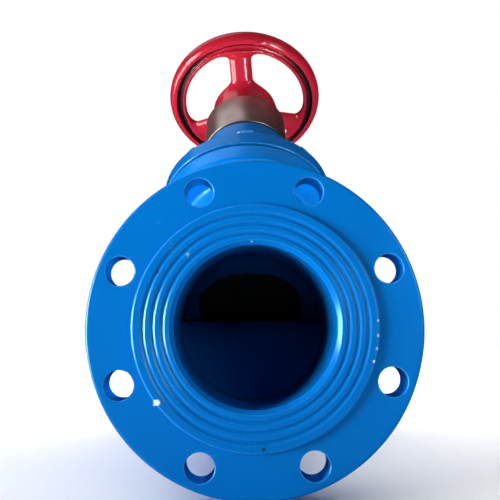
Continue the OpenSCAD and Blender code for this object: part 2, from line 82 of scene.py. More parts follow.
class ValveSizes(bpy.types.PropertyGroup):
    """Sizes of the castings. They are those of the solid model, but for a thicker lip and thicker spokes."""
    flange_r: length("Flange radius", "Outer radius of both pipe flanges", 104)
    flange_back: length("Flange back", "From a raised face to the back of its flange", 26)
    flange_edge: length("Flange edge", "Rounding of the pipe flange rims", 2)
    raised_r: length("Raised face radius", "Radius of the raised face", 75.25)
    raised_h: length("Raised face height", "Height of the raised face", 3)
    groove_r: length("Groove radius", "Radius of the outermost sealing groove", 68.8)
    groove_step: length("Groove step", "From one sealing groove to the next", 5.95)
    groove_w: length("Groove width", "Width of a sealing groove", 3)
    bore_edge: length("Bore bevel", "Bevel at the mouth of the bore", 2.8)
    groove_depth: length("Groove depth", "Depth of a sealing groove", 0.8)
    bolt_circle_r: length("Bolt circle", "Radius of the pipe bolt circle", 90)
    hole_r: length("Bolt hole", "Radius of the pipe bolt holes", 9)
    bore_r: length("Bore radius", "Radius of the bore at the flanges", 50)
    wall: length("Wall", "Wall of the casting", 10)
    belly: length("Belly", "How much the bore widens around the seat", 7)
    root: length("Root fillet", "Fillet from a pipe flange to the pipe", 12)
    total: length("Face to face", "Distance between the raised faces", 350)
    branch_r: length("Branch radius", "Outer radius of the branch", 57.5)
    chamber_r: length("Chamber radius", "Radius of the plug chamber", 50)
    cover_r: length("Bonnet flange radius", "Radius of the bonnet flanges", 80.5)
    cover_under: length("Bonnet flange underside", "From the crossing to the body's bonnet flange", 117.54)
    cover_seam: length("Bonnet seam", "From the crossing to the top of the body's bonnet flange", 138.54)
    bonnet_under: length("Bonnet underside", "From the crossing to the underside of the bonnet", 140.54)
    bonnet_top: length("Bonnet flange top", "From the crossing to the top of the bonnet flange", 157.04)
    cover_edge: length("Bonnet flange edge", "Rounding of the bonnet flange rims", 3)
    cover_bolts_r: length("Bonnet bolt circle", "Radius of the bonnet bolt circle", 68)
    neck_r: length("Neck radius", "Radius of the bonnet neck at its flange", 55)
    collar_r: length("Collar radius", "Radius of the bonnet collar", 42.5)
    collar_h: length("Collar height", "Straight part of the bonnet collar", 22)
    collar_top: length("Collar top", "From the crossing to the top of the collar", 223.04)
    seat: length("Seat", "From the crossing to the top of the seat ring", 30)
    seat_outer_r: length("Seat ring radius", "Outer radius of the seat ring", 48)
    throat_r: length("Throat radius", "Radius of the passage under the seat", 43)
    throat_depth: length("Throat depth", "From the top of the seat ring down to the end of the throat", 28)
    web: length("Web", "Thickness of the web that holds the seat", 11)
    weir: length("Weir height", "Height of the weir above the bore axis", 4.5)
    weir_start: length("Weir start", "From the inlet face to the start of the weir", 52)
    weir_crest: length("Weir crest", "From the inlet face to the crest of the weir", 138)
    test_y: length("Test point place", "From a raised face to its test point", 60)
    test_boss_r: length("Test boss radius", "Radius of the test point bosses", 15)
    test_boss_x: length("Test boss face", "From the bore axis to the face of a boss", 68)
    sleeve_r: length("Sleeve radius", "Outer radius of the indicator sleeve", 43.25)
    sleeve_wall: length("Sleeve wall", "Wall of the indicator sleeve", 2)
    sleeve_foot: length("Sleeve foot", "From the crossing to the foot of the sleeve", 224.74)
    sleeve_h: length("Sleeve height", "Height of the indicator sleeve", 44.5)
    window_w: length("Window width", "Width of the reading window", 26)
    window_h: length("Window height", "Height of the reading window", 10)
    window_u: length("Window height on the sleeve", "From the foot of the sleeve to the window", 17)
    wheel_plane: length("Rim plane", "From the crossing to the middle plane of the rim", 324.04)
    wheel_r: length("Wheel radius", "Outer radius of the handwheel", 85.5)
    bead_w: length("Rim width", "Width of the rim bead", 13.5)
    bead_h: length("Rim depth", "Depth of the rim bead along the stem", 18)
    lip_r: length("Lip radius", "Radius inside the thin inner lip", 67)
    lip_t: length("Lip thickness", "Thickness of the inner lip", 5.4)
    lip_drop: length("Lip drop", "From the rim plane to the middle of the lip", 6)
    hollow_r: length("Rim hollow", "Radius of the hollow between the bead and the lip", 74.2)
    spoke_w: length("Spoke width", "Width of a spoke", 24)
    spoke_t: length("Spoke thickness", "Thickness of a spoke", 11)
    spoke_dish: length("Spoke dish", "How far the spokes fall from the lip to the hub", 12.3)
    spoke_turn: bpy.props.FloatProperty(
        name="Spoke turn", description="Turn of the first spoke from the top",
        default=math.radians(-5), subtype="ANGLE", unit="ROTATION")
    hub_r: length("Hub radius", "Radius of the hub skirt", 34.5)
    hub_top_r: length("Hub top radius", "Radius of the top of the hub", 23)
    hub_top: length("Hub top", "From the crossing to the top of the hub", 315.54)


class ValveColours(bpy.types.PropertyGroup):
    """Colours of the finishes."""
    blue: colour("Blue enamel", "Paint of the body and bonnet", "#0074CE")
    red: colour("Red enamel", "Paint of the handwheel", "#AE1A2E")
    sleeve: colour("Sleeve steel", "Bare steel of the indicator sleeve", "#DCCFCB")
    floor: colour("Floor", "Seamless studio floor", "#FAFAFA")


class Millimetres:
    """Reads a size in millimetres."""

    def __init__(self, context):
        self.group = context.scene.valve_sizes

    def __getattr__(self, key):
        return getattr(self.group, key) * 1000


# ---------------------------------------------------------------- shapes

def rounded(points, turn=18.0, hold=0.3):
    """An open outline whose corners are rounded by their third number.
    A point just beyond each arc keeps the flats flat under smooth shading."""
    out = [np.array(points[0][:2], float)]
    for before, corner, after in zip(points, points[1:], points[2:]):
        p = np.array(corner[:2], float)
        r = corner[2] if len(corner) > 2 else 0.0
        if not r:
            out.append(p)
            continue
        a, b = np.array(before[:2]) - p, np.array(after[:2]) - p
        la, lb = np.linalg.norm(a), np.linalg.norm(b)
        a, b = a / la, b / lb
        half = math.acos(max(-1.0, min(1.0, float(a @ b)))) / 2
        reach = r / math.tan(half)
        mid = (a + b) / np.linalg.norm(a + b)
        centre = p + mid * r / math.sin(half)
        start, end = p + a * reach - centre, p + b * reach - centre
        sweep = math.pi - 2 * half
        sign = 1 if start[0] * end[1] - start[1] * end[0] > 0 else -1
        n = max(2, math.ceil(math.degrees(sweep) / turn))
        out.append(p + a * (reach + min(hold, (la - reach) * 0.4)))
        for i in range(n + 1):
            t = sign * sweep * i / n
            c, s = math.cos(t), math.sin(t)
            out.append(centre + (start[0] * c - start[1] * s, start[0] * s + start[1] * c))
        out.append(p + b * (reach + min(hold, (lb - reach) * 0.4)))
    out.append(np.array(points[-1][:2], float))
    return np.array(out)


def ease(t):
    t = np.clip(t, 0, 1)
    return (1 - np.cos(np.pi * t)) / 2


def along_bore(r_cos, r_sin, height):
    """A lathe point round the bore: height is the distance from the inlet face."""
    return np.stack([r_cos, height, r_sin], -1)


def on_stem(r_cos, r_sin, height):
    """A lathe point round the stem: height is the distance from the crossing."""
    return CROSSING + np.outer(r_cos, ACROSS) + np.outer(r_sin, DOWNHILL) + np.outer(height, STEM)


def on_stem_from(start):
    """A lathe placement on the stem whose heights begin at start."""
    return lambda r_cos, r_sin, height: on_stem(r_cos, r_sin, np.asarray(height) + start)


def turn_angles(segments):
    return np.arange(segments) * 2 * math.pi / segments


def strips(rows, columns):
    """Quads that join each of several closed rings of points to the next."""
    i = np.arange(rows - 1)[:, None] * columns
    j = np.arange(columns)[None, :]
    k = (j + 1) % columns
    return np.stack([i + j, i + k, i + columns + k, i + columns + j], -1).reshape(-1, 4)


def lathe(outline, place, segments):
    """Points and faces of an outline (radius, height) turned all the way round."""
    r, h = np.repeat(outline[:, 0], segments), np.repeat(outline[:, 1], segments)
    a = np.tile(turn_angles(segments), len(outline))
    return place(r * np.cos(a), r * np.sin(a), h), strips(len(outline), segments)


def smooth_min(a, b, blend):
    h = np.clip(0.5 + 0.5 * (b - a) / blend, 0, 1)
    return b + (a - b) * h - blend * h * (1 - h)


def smooth_max(a, b, blend):
    return -smooth_min(-a, -b, blend)


def bar(x, y, x0, x1, y0, y1, edge):
    """Distance to a rectangle with rounded corners."""
    dx = np.abs(x - (x0 + x1) / 2) - (x1 - x0) / 2 + edge
    dy = np.abs(y - (y0 + y1) / 2) - (y1 - y0) / 2 + edge
    return np.hypot(np.maximum(dx, 0), np.maximum(dy, 0)) + np.minimum(np.maximum(dx, dy), 0) - edge


def stem_place(p):
    """Distance from the stem axis, height from the crossing, and the two sideways distances."""
    q = p - CROSSING
    a, b = q @ ACROSS, q @ DOWNHILL
    return np.hypot(a, b), q @ STEM, a, b


def skin(field, low, high, step, relax=4):
    """Quads round the zero level of a distance field. Each point is moved onto the level,
    so the surface is as true as the field, and its border is open where the box ends."""
    low, high = np.array(low, float), np.array(high, float)
    n = np.ceil((high - low) / step).astype(int) + 1
    grid = np.stack(np.meshgrid(*[low[i] + step * np.arange(n[i]) for i in range(3)], indexing="ij"), -1)
    inside = np.empty(n, bool)
    for i in range(n[0]):
        inside[i] = field(grid[i].reshape(-1, 3)).reshape(n[1:]) < 0
    del grid
    total = np.zeros(n - 1, int)
    for i in (0, 1):
        for j in (0, 1):
            for k in (0, 1):
                total += inside[i:n[0] - 1 + i, j:n[1] - 1 + j, k:n[2] - 1 + k]
    live = (total > 0) & (total < 8)
    name = np.full(n - 1, -1)
    name[live] = np.arange(live.sum())
    points = low + step * (np.argwhere(live) + 0.5)
    faces = []
    for axis in range(3):
        u, v = [i for i in range(3) if i != axis]
        first, second = [slice(None)] * 3, [slice(None)] * 3
        first[axis], second[axis] = slice(0, -1), slice(1, None)
        start, stop = inside[tuple(first)], inside[tuple(second)]
        cell = np.argwhere(start != stop)
        fits = (cell[:, u] > 0) & (cell[:, v] > 0) & (cell[:, u] < n[u] - 1) & (cell[:, v] < n[v] - 1)
        cell = cell[fits]
        ring = []
        for du, dv in ((-1, -1), (0, -1), (0, 0), (-1, 0)):
            c = cell.copy()
            c[:, u] += du
            c[:, v] += dv
            ring.append(name[tuple(c.T)])
        ring = np.stack(ring, -1)
        flip = start[tuple(cell.T)] != (axis == 1)
        ring[~flip] = ring[~flip][:, ::-1]
        faces.append(ring)
    faces = np.concatenate(faces)

    def settle(p, rounds):
        e = 0.02
        for _ in range(rounds):
            d = field(p)
            g = np.stack([(field(p + e * ax) - field(p - e * ax)) / (2 * e) for ax in np.eye(3)], -1)
            g2 = np.maximum((g * g).sum(-1), 0.05)
            move = (-d / g2)[:, None] * g
            far = np.linalg.norm(move, axis=1, keepdims=True)
            p = p + move * np.minimum(1, step / np.maximum(far, 1e-9))
        return p

    points = settle(points, 3)
    edges = np.concatenate([faces[:, [0, 1]], faces[:, [1, 2]], faces[:, [2, 3]], faces[:, [3, 0]]])
    edges = np.concatenate([edges, edges[:, ::-1]])
    count = np.bincount(edges[:, 0], minlength=len(points))[:, None]
    both = np.sort(edges, 1)
    _, where, uses = np.unique(both[:, 0] * len(points) + both[:, 1], return_inverse=True, return_counts=True)
    open_edge = uses[where] < 4
    fixed = np.zeros(len(points), bool)
    fixed[edges[open_edge].ravel()] = True
    for _ in range(relax):
        total = np.stack([np.bincount(edges[:, 0], points[edges[:, 1], i], len(points))
                          for i in range(3)], -1)
        moved = points + 0.6 * (total / np.maximum(count, 1) - points)
        moved[fixed] = points[fixed]
        points = settle(moved, 1)
    return settle(points, 2), faces


def edge_wear(mesh):
    """Stores how sharply each point stands out, 1 at a corner about as tight as a millimetre."""
    n = len(mesh.vertices)
    p, normals = np.empty(n * 3), np.empty(n * 3)
    mesh.vertices.foreach_get("co", p)
    mesh.vertices.foreach_get("normal", normals)
    p, normals = p.reshape(-1, 3) * 1000, normals.reshape(-1, 3)
    e = np.empty(len(mesh.edges) * 2, int)
    mesh.edges.foreach_get("vertices", e)
    e = e.reshape(-1, 2)
    e = np.concatenate([e, e[:, ::-1]])
    d = p[e[:, 0]] - p[e[:, 1]]
    long = np.maximum(np.linalg.norm(d, axis=1), 0.05)
    bend = 2 * (d * normals[e[:, 0]]).sum(1) / long ** 2
    total = np.bincount(e[:, 0], bend, n) / np.maximum(np.bincount(e[:, 0], minlength=n), 1)
    value = np.clip(total, -1, 1).astype(np.float32)
    mesh.attributes.new("edge_wear", "FLOAT", "POINT").data.foreach_set("value", value)


def make_mesh(name, parts, recalc):
    """One mesh from (points in millimetres, faces) pairs, smooth but for edges bent by over 34 degrees."""
    mesh = bpy.data.meshes.new(name)
    points, faces, base = [], [], 0
    for p, f in parts:
        points.append(np.asarray(p, float))
        faces.extend([[int(i) + base for i in face] for face in f])
        base += len(p)
    mesh.from_pydata((np.concatenate(points) / 1000).tolist(), [], faces)
    bm = bmesh.new()
    bm.from_mesh(mesh)
    bmesh.ops.remove_doubles(bm, verts=bm.verts, dist=2e-6)
    bmesh.ops.dissolve_degenerate(bm, edges=bm.edges, dist=1e-7)
    if recalc:
        bmesh.ops.recalc_face_normals(bm, faces=bm.faces)
    sharp = math.radians(34)
    for f in bm.faces:
        f.smooth = True
    for edge in bm.edges:
        if len(edge.link_faces) == 2 and edge.calc_face_angle(0) > sharp:
            edge.smooth = False
    bm.to_mesh(mesh)
    bm.free()
    mesh.update()
    edge_wear(mesh)
    return mesh


def piece(name, shape, body, slot, *nodes, look=None, recalc=True):
    """Puts a shape in the scene as a piece of the valve: a mesh, or the parts to make one from.
    Its finish is its slot's, unless it has a look of its own. It stands for the named nodes."""
    mesh = shape if isinstance(shape, bpy.types.Mesh) else make_mesh(name, shape, recalc)
    obj = bpy.data.objects.new(name, mesh)
    bpy.context.scene.collection.objects.link(obj)
    mesh.materials.append(finish(look or SLOT_FINISHES[slot]))
    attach(obj, body)
    if nodes:
        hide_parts(*nodes)
    return obj


def hex_solid(flats, height, both=False, bore=0.0, per_side=8):
    """A hexagon with the curved chamfer that turning leaves on its top, or on both ends."""
    n = 6 * per_side
    a = turn_angles(n)
    inner, soft, eye = flats / 2, 0.22, max(bore, 0.01)
    hexagon = inner / np.cos((a + math.pi / 6) % (math.pi / 3) - math.pi / 6)
    start = inner - 0.25
    drop = np.maximum(hexagon - start, 0) * math.tan(math.radians(30))
    if both:
        rings = [(eye, 0), (start, 0), (hexagon - soft, drop), (hexagon, drop + soft)]
    else:
        rings = [(eye, 0), (hexagon - soft, 0), (hexagon, soft)]
    rings += [(hexagon, height - drop - soft), (hexagon - soft, height - drop),
              (start, height), (start - 0.3, height), (eye, height)]
    if bore:
        rings.append((bore, 0))
    points = np.concatenate([upright(r * np.cos(a), r * np.sin(a), z + np.zeros(n)) for r, z in rings])
    return points, strips(len(rings), n)


def upright(r_cos, r_sin, height):
    return np.stack([r_cos, r_sin, height], -1)


def thread(radius, high, pitch=1.75, depth=0.6, segments=32):
    """A real helix of thread that stands on Z, with a chamfered end at the top."""
    rows = int(high / pitch * 8) + 1
    j = np.arange(segments + 1)
    points = []
    for i in range(rows):
        z = np.clip(high * i / (rows - 1) + pitch * (j / segments - 0.5), 0, high)
        wave = np.abs((z / pitch - j / segments) % 1 - 0.5) * 2
        r = radius - depth * ease(wave * 1.3 - 0.15) - np.maximum(0, z - high + 1.0) * 0.8
        a = j * 2 * math.pi / segments
        points.append(upright(r * np.cos(a), r * np.sin(a), z))
    points = np.concatenate(points)
    m = segments + 1
    faces = [(i * m + k, i * m + k + 1, (i + 1) * m + k + 1, (i + 1) * m + k)
             for i in range(rows - 1) for k in range(segments)]
    cap = (rows - 1) * m
    points = np.concatenate([points, [[0, 0, high]]])
    faces += [(cap + k, cap + k + 1, len(points) - 1) for k in range(segments)]
    return points, faces


def at_stem(points, radius=0.0, angle=0.0, height=0.0):
    """Moves a shape that stands on Z onto the stem axis, out to a radius at an angle."""
    c, s = math.cos(angle), math.sin(angle)
    x = points[:, 0] + radius
    return on_stem(x * c - points[:, 1] * s, x * s + points[:, 1] * c, points[:, 2] + height)


# ---------------------------------------------------------------- pieces

def pipe_outside(s, y):
    """Outer radius of the pipe, which swells towards the seat."""
    start = s.flange_back + s.root
    t = (np.minimum(y, s.total - y) - start) / (s.total / 2 - start)
    return s.bore_r + s.wall + s.belly * ease(t)


def bore_inside(s, y):
    return pipe_outside(s, y) - s.wall


def flange_parts(s, outlet):
    """A pipe flange from its bore to its root fillet, with the bolt holes cut through it."""
    segments, holes, side = 288, 8, 7
    grooves = []
    for i in (2, 1, 0):
        r = s.groove_r - i * s.groove_step
        h = s.groove_w / 2
        grooves += [(r - h - 0.3, 0, 1.1), (r - h + 1.05, s.groove_depth, 1.1),
                    (r + h - 1.05, s.groove_depth, 1.1), (r + h + 0.3, 0, 1.1)]
    # the flat rings that hold the bolt holes lie between these radii, in front and at the back
    inner_front = s.raised_r + 2.2
    outer = s.flange_r - s.flange_edge - 0.6
    inner_back = s.bore_r + s.wall + s.root + 2.5
    mouth = [(s.bore_r, s.flange_back + 8), (s.bore_r, s.bore_edge, 1.2), (s.bore_r + s.bore_edge, 0, 1.0)]
    face = rounded(mouth + grooves + [(s.raised_r, 0, 0.9), (s.raised_r, s.raised_h, 1.1),
                                      (inner_front, s.raised_h)])
    rim = rounded([(outer, s.raised_h), (s.flange_r, s.raised_h, s.flange_edge),
                   (s.flange_r, s.flange_back, s.flange_edge), (outer, s.flange_back)])
    pipe_r = s.bore_r + s.wall
    root = rounded([(inner_back, s.flange_back), (pipe_r, s.flange_back, s.root),
                    (pipe_r, s.flange_back + s.root + 1)], turn=9)
    # the root laps over the start of the pipe's skin
    tail = np.array([(pipe_outside(s, y), y)
                     for y in (s.flange_back + s.root + 3, s.flange_back + s.root + 6)])
    parts = [lathe(face, along_bore, segments), lathe(rim, along_bore, segments),
             lathe(np.concatenate([root, tail]), along_bore, segments)]
    spot = s.hole_r + 2.2
    hole = rounded([(s.hole_r + 1.4, s.raised_h), (s.hole_r, s.raised_h, 0.8),
                    (s.hole_r, s.flange_back - 1, 0.4), (spot, s.flange_back - 1, 0.4),
                    (spot, s.flange_back, 0.3), (spot + 0.6, s.flange_back)], turn=24)
    step = 2 * math.pi / segments
    arc = np.arange(segments // holes + 1) * step
    for k in range(holes):
        start = k * 2 * math.pi / holes
        middle = start + math.pi / holes
        centre = np.array([math.cos(middle), math.sin(middle)]) * s.bolt_circle_r

        rays = np.stack([np.cos(start + arc), np.sin(start + arc)], -1)

        def border(r0, r1):
            up = np.linspace(r0, r1, side + 2)[1:-1, None]
            return np.concatenate([rays * r1, rays[-1] * up[::-1], rays[::-1] * r0, rays[0] * up])

        front, rear = border(inner_front, outer), border(inner_back, outer)
        angle = np.arctan2(*(front - centre).T[::-1])
        m = len(angle)
        rings = [along_bore(*front.T, np.full(m, s.raised_h))]
        rings += [along_bore(centre[0] + r * np.cos(angle), centre[1] + r * np.sin(angle), np.full(m, y))
                  for r, y in hole]
        rings.append(along_bore(*rear.T, np.full(m, s.flange_back)))
        parts.append((np.concatenate(rings), strips(len(rings), m)))
    if outlet:
        parts = [(p * (1, -1, 1) + (0, s.total, 0), f[:, ::-1]) for p, f in parts]
    return parts


def casting_outside(s):
    """The pipe, branch, bonnet flange and test bosses, run together with cast fillets."""
    def field(p):
        x, y, z = p.T
        r, u, _, _ = stem_place(p)
        tuck = 0.12 * (1 - ease((np.minimum(y, s.total - y) - s.flange_back - s.root - 6) / 4))
        pipe = np.hypot(x, z) - pipe_outside(s, y) + tuck
        branch = np.maximum(r - s.branch_r, np.maximum(-u, u - s.cover_under - 6))
        disc = bar(r, u, -s.cover_r, s.cover_r, s.cover_under, s.cover_seam, s.cover_edge)
        body = smooth_min(pipe, branch, 15)
        body = smooth_min(body, disc, 3.5)
        for y0 in (s.test_y, s.total - s.test_y):
            across = np.hypot(y - y0, z)
            boss = bar(across, x, -s.test_boss_r, s.test_boss_r, 0, s.test_boss_x, 1.2)
            body = smooth_min(body, boss, 7)
        return body
    edge = s.flange_back + s.root + 2
    reach = s.cover_r + 4
    top = s.cover_seam * STEM[2] + s.cover_r * STEM[1] + 4
    shape = skin(field, (-reach, edge, -(s.bore_r + s.wall + s.belly + 3)), (reach, s.total - edge, top), 2.3)
    return open_chamber(s, shape)


def open_chamber(s, shape):
    """Drops the faces that close the plug chamber in the plane of the bonnet joint."""
    points, faces = shape
    r, u, _, _ = stem_place(points[faces].mean(1))
    return points, faces[(u < s.cover_seam - 0.8) | (r > s.chamber_r - 1)]


def casting_inside(s):
    """The bore, the plug chamber, and the web and weir that hold the seat."""
    def field(p):
        x, y, z = p.T
        r, u, _, _ = stem_place(p)
        tuck = 0.12 * (1 - ease((np.minimum(y, s.total - y) - s.flange_back - 8) / 4))
        bore = np.hypot(x, z) - bore_inside(s, y) - tuck
        chamber = np.maximum(r - s.chamber_r, s.seat - 1 - u)
        space = smooth_min(bore, chamber, 7)
        slab_top = s.seat - 1
        slab = np.abs(u - slab_top + s.web / 2) - s.web / 2
        # the weir rises from the wall of the pipe to its crest in one soft S
        rise, run = s.weir + s.bore_r + s.wall, s.weir_crest - s.weir_start
        t = (y - s.weir_start) / run
        floor = -(s.bore_r + s.wall) + rise * ease(t)
        slope = np.pi / 2 * rise / run * np.sin(np.pi * np.clip(t, 0, 1))
        weir = np.maximum((z - floor) / np.sqrt(1 + slope ** 2), u - slab_top + s.web / 2)
        web = smooth_min(slab, weir, 8)
        throat = smooth_max(r - s.throat_r, s.seat - s.throat_depth - u, 2)
        web = smooth_max(web, -throat, 3)
        web = np.maximum(web, np.where((u > s.seat - 7) & (u < s.seat + 2), s.seat_outer_r - r, -50))
        return np.maximum(smooth_max(space, -web, 5), u - s.cover_seam)
    edge = s.flange_back + 4
    reach = s.bore_r + s.belly + 4
    top = s.cover_seam * STEM[2] + s.chamber_r * STEM[1] + 4
    return open_chamber(s, skin(field, (-reach, edge, -reach), (reach, s.total - edge, top), 2.0))


def bonnet_outline(s):
    """The bonnet: a bolted flange, a waisted neck and a straight collar, hollow underneath."""
    low, top, cap = s.bonnet_under, s.bonnet_top, s.collar_top
    bend = top + (cap - top - s.collar_h)
    lower = rounded([(0.01, low + 44), (15, low + 44, 2), (32, low + 32, 5), (32, low + 18, 5),
                     (s.chamber_r, low + 6, 2), (s.chamber_r, low, 0.8), (s.cover_r, low, 1.2),
                     (s.cover_r, top, s.cover_edge), (s.neck_r + 4, top)])
    t = np.linspace(0, 1, 22)
    neck = np.stack([s.neck_r + (s.collar_r - s.neck_r) * np.sin(t * math.pi / 2),
                     top + (bend - top) * (1 - np.cos(t * math.pi / 2))], -1)
    collar = rounded([(s.collar_r, bend + 1), (s.collar_r, cap, 1.1), (s.collar_r - 4, cap)])
    return np.concatenate([lower, neck, collar, [[0.01, cap]]])


def handwheel_skin(s):
    """Rim hollowed between bead and lip, three dished spokes and the hub, run together with cast fillets."""
    turn = s.group.spoke_turn - math.pi / 2
    bead = s.wheel_r - s.bead_w / 2
    foot = s.sleeve_foot + s.sleeve_h - 4
    spoke_in = s.wheel_plane - s.lip_drop - s.spoke_dish

    def field(p):
        r, u, a, b = stem_place(p)
        w = u - s.wheel_plane
        half_w, half_h = s.bead_w / 2, s.bead_h / 2
        k0 = np.hypot((r - bead) / half_w, w / half_h)
        k1 = np.hypot((r - bead) / half_w ** 2, w / half_h ** 2)
        rim = k0 * (k0 - 1) / np.maximum(k1, 1e-6)
        lip = bar(r, w + s.lip_drop, s.lip_r, bead, -s.lip_t / 2, s.lip_t / 2, 2.2)
        rim = smooth_min(rim, lip, 1.5)
        middle = spoke_in + s.spoke_dish * np.clip((r - s.hub_r) / (s.lip_r - 3 - s.hub_r), 0, 1)
        spokes = np.full(len(r), 1e3)
        for i in range(3):
            angle = turn + i * 2 * math.pi / 3
            along = a * math.cos(angle) + b * math.sin(angle)
            side = -a * math.sin(angle) + b * math.cos(angle)
            k = np.sqrt((side / (s.spoke_w / 2)) ** 2 + ((u - middle) / (s.spoke_t / 2)) ** 2)
            section = (k - 1) * s.spoke_t / 2 * (0.35 + 0.65 * np.clip(k, 0, 1))
            spokes = np.minimum(spokes, np.maximum(section, np.maximum(-along, along - s.lip_r - 4)))
        waist = s.hub_r - (s.hub_r - s.hub_top_r) * ease((u - spoke_in) / (s.hub_top - spoke_in))
        hub = smooth_max(r - waist, np.maximum(foot - u, u - s.hub_top), 3)
        wheel = smooth_min(smooth_min(rim, spokes, 9), hub, 8)
        # the hollow is open below: a wide shallow step, and a deeper slot against the bead
        wide = bar(r, w, s.hollow_r - 3.6, s.hollow_r + 3.2, -16, -5.4, 1.6)
        deep = bar(r, w, s.hollow_r - 0.8, s.hollow_r + 3.2, -16, -2.0, 1.6)
        return smooth_max(wheel, -np.minimum(wide, deep), 0.9)
    reach = s.wheel_r + 3
    centre = CROSSING + STEM * (s.wheel_plane - 26)
    side = np.abs(np.stack([ACROSS, DOWNHILL, STEM])) * np.array([[reach], [reach], [40]])
    size = side.sum(0)
    return skin(field, centre - size, centre + size, 1.15)


def sleeve_parts(s):
    """The turned sleeve with its reading window on the outlet side."""
    segments, spread = 240, 12
    out, inn, foot = s.sleeve_r, s.sleeve_r - s.sleeve_wall, s.sleeve_foot
    low, high = s.window_u - s.window_h / 2, s.window_u + s.window_h / 2
    wall = rounded([(inn, low), (inn, 0, 0.4), (out, 0, 0.5), (out, low), (out, high),
                    (out, s.sleeve_h, 0.5), (inn, s.sleeve_h, 0.4), (inn, high)])
    outline = np.concatenate([wall, wall[:1]])
    points, faces = lathe(outline, on_stem_from(foot), segments)
    quarter = segments // 4
    off = np.abs((faces % segments - quarter + segments // 2) % segments - segments // 2)
    h = outline[faces // segments, 1]
    in_window = (off <= spread) & (h >= low - 1e-6) & (h <= high + 1e-6)
    parts = [(points, faces[~in_window.all(1)])]
    # the four cut faces round the window
    angles = (quarter + np.arange(-spread, spread + 1)) * 2 * math.pi / segments
    n = len(angles)
    for h in (low, high):
        edges = [on_stem(r * np.cos(angles), r * np.sin(angles), np.full(n, h + foot)) for r in (out, inn)]
        parts.append((np.concatenate(edges), [(i, i + 1, n + i + 1, n + i) for i in range(n - 1)]))
    r, h = np.array([out, inn, inn, out]), np.array([low, low, high, high]) + foot
    parts += [(on_stem(r * math.cos(a), r * math.sin(a), h), [(0, 1, 2, 3)]) for a in (angles[0], angles[-1])]
    return parts


def ribbed_cap(x0, y0, radius, height):
    """A moulded cap with grip ribs, pointing along +X."""
    segments = 96
    outline = rounded([(radius - 2.6, 0.2), (radius, 0.2, 0.5), (radius, height, 2.2), (0.01, height)],
                      turn=15)
    rows = []
    for a, b in zip(outline, outline[1:]):
        n = max(1, int(abs(b[1] - a[1]) / 1.2))
        rows += [a + (b - a) * i / n for i in range(n)]
    rows.append(outline[-1])
    a = turn_angles(segments)
    points = []
    for r, h in rows:
        grip = ease((h - 2) / 1.5) * ease((height - 4 - h) / 1.5) * (r > radius - 0.8)
        ripple = r - 0.55 * grip * (0.5 + 0.5 * np.cos(24 * a))
        points.append(np.stack([np.full(segments, x0 + h), y0 + ripple * np.cos(a), ripple * np.sin(a)], -1))
    return np.concatenate(points), strips(len(rows), segments)


# ---------------------------------------------------------------- finishes

def add(tree, kind, settings=None, **sockets):
    """Adds a node with its settings. Each named or numbered socket gets a value, or a link
    from a socket or from a node's first output."""
    made = tree.nodes.new(kind)
    for key, value in (settings or {}).items():
        setattr(made, key, value)
    for key, value in sockets.items():
        socket = made.inputs[int(key[1:]) if key[1:].isdigit() else key.replace("_", " ")]
        if isinstance(value, bpy.types.Node):
            value = value.outputs[0]
        if isinstance(value, bpy.types.NodeSocket):
            tree.links.new(value, socket)
        else:
            socket.default_value = value
    return made


def start(name, **constants):
    """A new material with only its shader, whose constant values are set on the shader itself."""
    material = bpy.data.materials.new(name)
    material.use_nodes = True
    tree = material.node_tree
    shader = next(n for n in tree.nodes if n.type == "BSDF_PRINCIPLED")
    for key, value in constants.items():
        shader.inputs[key.replace("_", " ")].default_value = value
    return material, tree, shader, add(tree, "ShaderNodeTexCoord").outputs["Object"]


def per(millimetres):
    """Texture scale at which a pattern repeats about every so many millimetres."""
    return 1000 / millimetres


def shade(rgb, factor):
    return tuple(min(1.0, c * factor) for c in rgb[:3]) + (1.0,)


